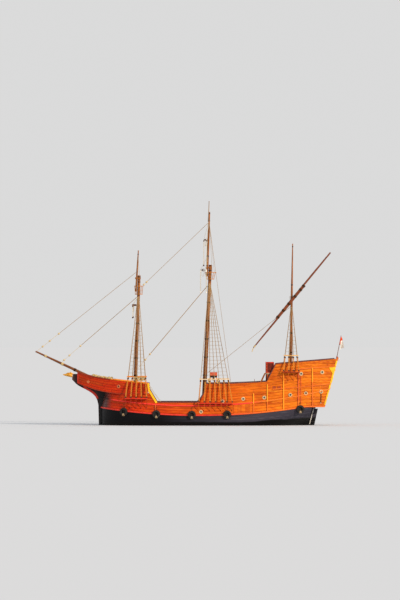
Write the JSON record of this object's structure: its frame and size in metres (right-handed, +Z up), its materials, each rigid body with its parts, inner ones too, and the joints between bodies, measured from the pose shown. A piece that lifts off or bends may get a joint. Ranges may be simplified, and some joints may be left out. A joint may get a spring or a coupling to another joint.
{
  "type": "tall ship, carrack-type sailing replica with auxiliary propeller",
  "caption": "Carrack-type tall ship with forecastle, half deck and poop, square yards and lateen yard, turning rudder and propeller, opening doors, afloat.",
  "frame": {"origin": "on the waterline plane, on the centreline, amidships", "axes": "+X towards the bow, +Y to port, +Z up"},
  "size_m": [31.875, 9.9883, 25.5513],
  "materials": {
    "black_hull": "black gloss paint, red antifouling under water",
    "dark_oak": "dark stain, satin",
    "varnished_planking": "orange varnish, glossy",
    "red_trim": "red gloss paint",
    "deck_planks": "bare scrubbed softwood",
    "spar_wood": "oiled pine",
    "rope": "laid hemp-coloured rope",
    "gilt": "gilt paint",
    "bronze": "cast bronze"
  },
  "bodies": {
    "hull": {"hull_lower": "black_hull", "keel_and_stern_post": "black_hull", "stem_and_head_knee": "dark_oak", "cap_rail_port": "dark_oak", "cap_rail_starboard": "dark_oak", "waist_hatch": "dark_oak", "wheel_pedestal": "dark_oak", "side_planking_port": "varnished_planking", "side_planking_starboard": "varnished_planking", "transom": "varnished_planking", "forecastle_side_port": "varnished_planking", "forecastle_side_starboard": "varnished_planking", "forecastle_bulkhead": "varnished_planking", "half_deck_bulkhead": "varnished_planking", "poop_bulkhead": "varnished_planking", "forecastle_rail": "varnished_planking", "half_deck_rail": "varnished_planking", "poop_rail": "varnished_planking", "forecastle_ladder": "varnished_planking", "half_deck_ladder": "varnished_planking", "poop_ladder": "varnished_planking", "fore_top": "varnished_planking", "main_top": "varnished_planking", "wales_and_fenders_port": "red_trim", "wales_and_fenders_starboard": "red_trim", "beak_front": "red_trim", "belfry": "red_trim", "main_deck": "deck_planks", "half_deck": "deck_planks", "poop_deck": "deck_planks", "forecastle_deck": "deck_planks", "bowsprit": "spar_wood", "fore_lower_mast": "spar_wood", "main_lower_mast": "spar_wood", "mizzen_mast": "spar_wood", "fore_topmast": "spar_wood", "main_topmast": "spar_wood", "ensign_staff": "spar_wood", "fore_shrouds_port": "rope", "fore_shrouds_starboard": "rope", "main_shrouds_port": "rope", "main_shrouds_starboard": "rope", "mizzen_shrouds_port": "rope", "mizzen_shrouds_starboard": "rope", "fore_stay": "rope", "fore_topmast_stay": "rope", "main_stay": "rope", "main_topmast_stay": "rope", "figurehead": "gilt"},
    "rudder": {"rudder": "black_hull"},
    "propeller": {"propeller": "bronze"},
    "steering_wheel": {"steering_wheel": "varnished_planking"},
    "fore_yard": {"fore_yard": "spar_wood"},
    "main_yard": {"main_yard": "spar_wood"},
    "main_topsail_yard": {"main_topsail_yard": "spar_wood"},
    "lateen_yard": {"lateen_yard": "spar_wood"},
    "forecastle_door": {"forecastle_door": "dark_oak"},
    "half_deck_door": {"half_deck_door": "dark_oak"},
    "poop_door": {"poop_door": "dark_oak"},
    "bell": {"bell": "bronze"}
  },
  "joints": [
    {"name": "rudder_turn", "type": "hinge", "parent": "hull", "child": "rudder", "pos_m": [-10.988, 0, 0], "axis": [-0.2498, 0, 0.9683], "range_deg": [-35, 35]},
    {"name": "wheel_turn", "type": "hinge", "parent": "hull", "child": "steering_wheel", "pos_m": [-5.15, 0, 4.33], "axis": [1, 0, 0], "range_deg": [-350, 350]},
    {"name": "propeller_spin", "type": "hinge", "parent": "hull", "child": "propeller", "pos_m": [-9.9, 0, -1.1], "axis": [1, 0, 0], "continuous": true},
    {"name": "fore_yard_brace", "type": "hinge", "parent": "hull", "child": "fore_yard", "pos_m": [6.96433, 0, 12.5], "axis": [-0.0369, 0, 0.9993], "range_deg": [-30, 30]},
    {"name": "main_yard_brace", "type": "hinge", "parent": "hull", "child": "main_yard", "pos_m": [-0.23862, 0, 16.15], "axis": [-0.0382, 0, 0.9993], "range_deg": [-30, 30]},
    {"name": "topsail_yard_brace", "type": "hinge", "parent": "hull", "child": "main_topsail_yard", "pos_m": [-0.35909, 0, 19.3], "axis": [-0.0382, 0, 0.9993], "range_deg": [-30, 30]},
    {"name": "lateen_yard_turn", "type": "hinge", "parent": "hull", "child": "lateen_yard", "pos_m": [-9.01, 0, 13.24], "axis": [-0.0171, 0, 0.9999], "range_deg": [-40, 40]},
    {"name": "forecastle_door_swing", "type": "hinge", "parent": "hull", "child": "forecastle_door", "pos_m": [6.004, 0.396, 1.412], "axis": [0, 0, -1], "range_deg": [0, 100]},
    {"name": "half_deck_door_swing", "type": "hinge", "parent": "hull", "child": "half_deck_door", "pos_m": [-0.744, -1.104, 1.4], "axis": [0, 0, 1], "range_deg": [0, 100]},
    {"name": "poop_door_swing", "type": "hinge", "parent": "hull", "child": "poop_door", "pos_m": [-6.444, -0.904, 3.55062], "axis": [0, 0, 1], "range_deg": [0, 100]},
    {"name": "bell_swing", "type": "hinge", "parent": "hull", "child": "bell", "pos_m": [-0.88, 1.15, 5.08], "axis": [0, 1, 0], "range_deg": [-30, 30]}
  ],
  "couplings": [
    {"joint": "wheel_turn", "follows": "rudder_turn", "ratio": 10}
  ]
}
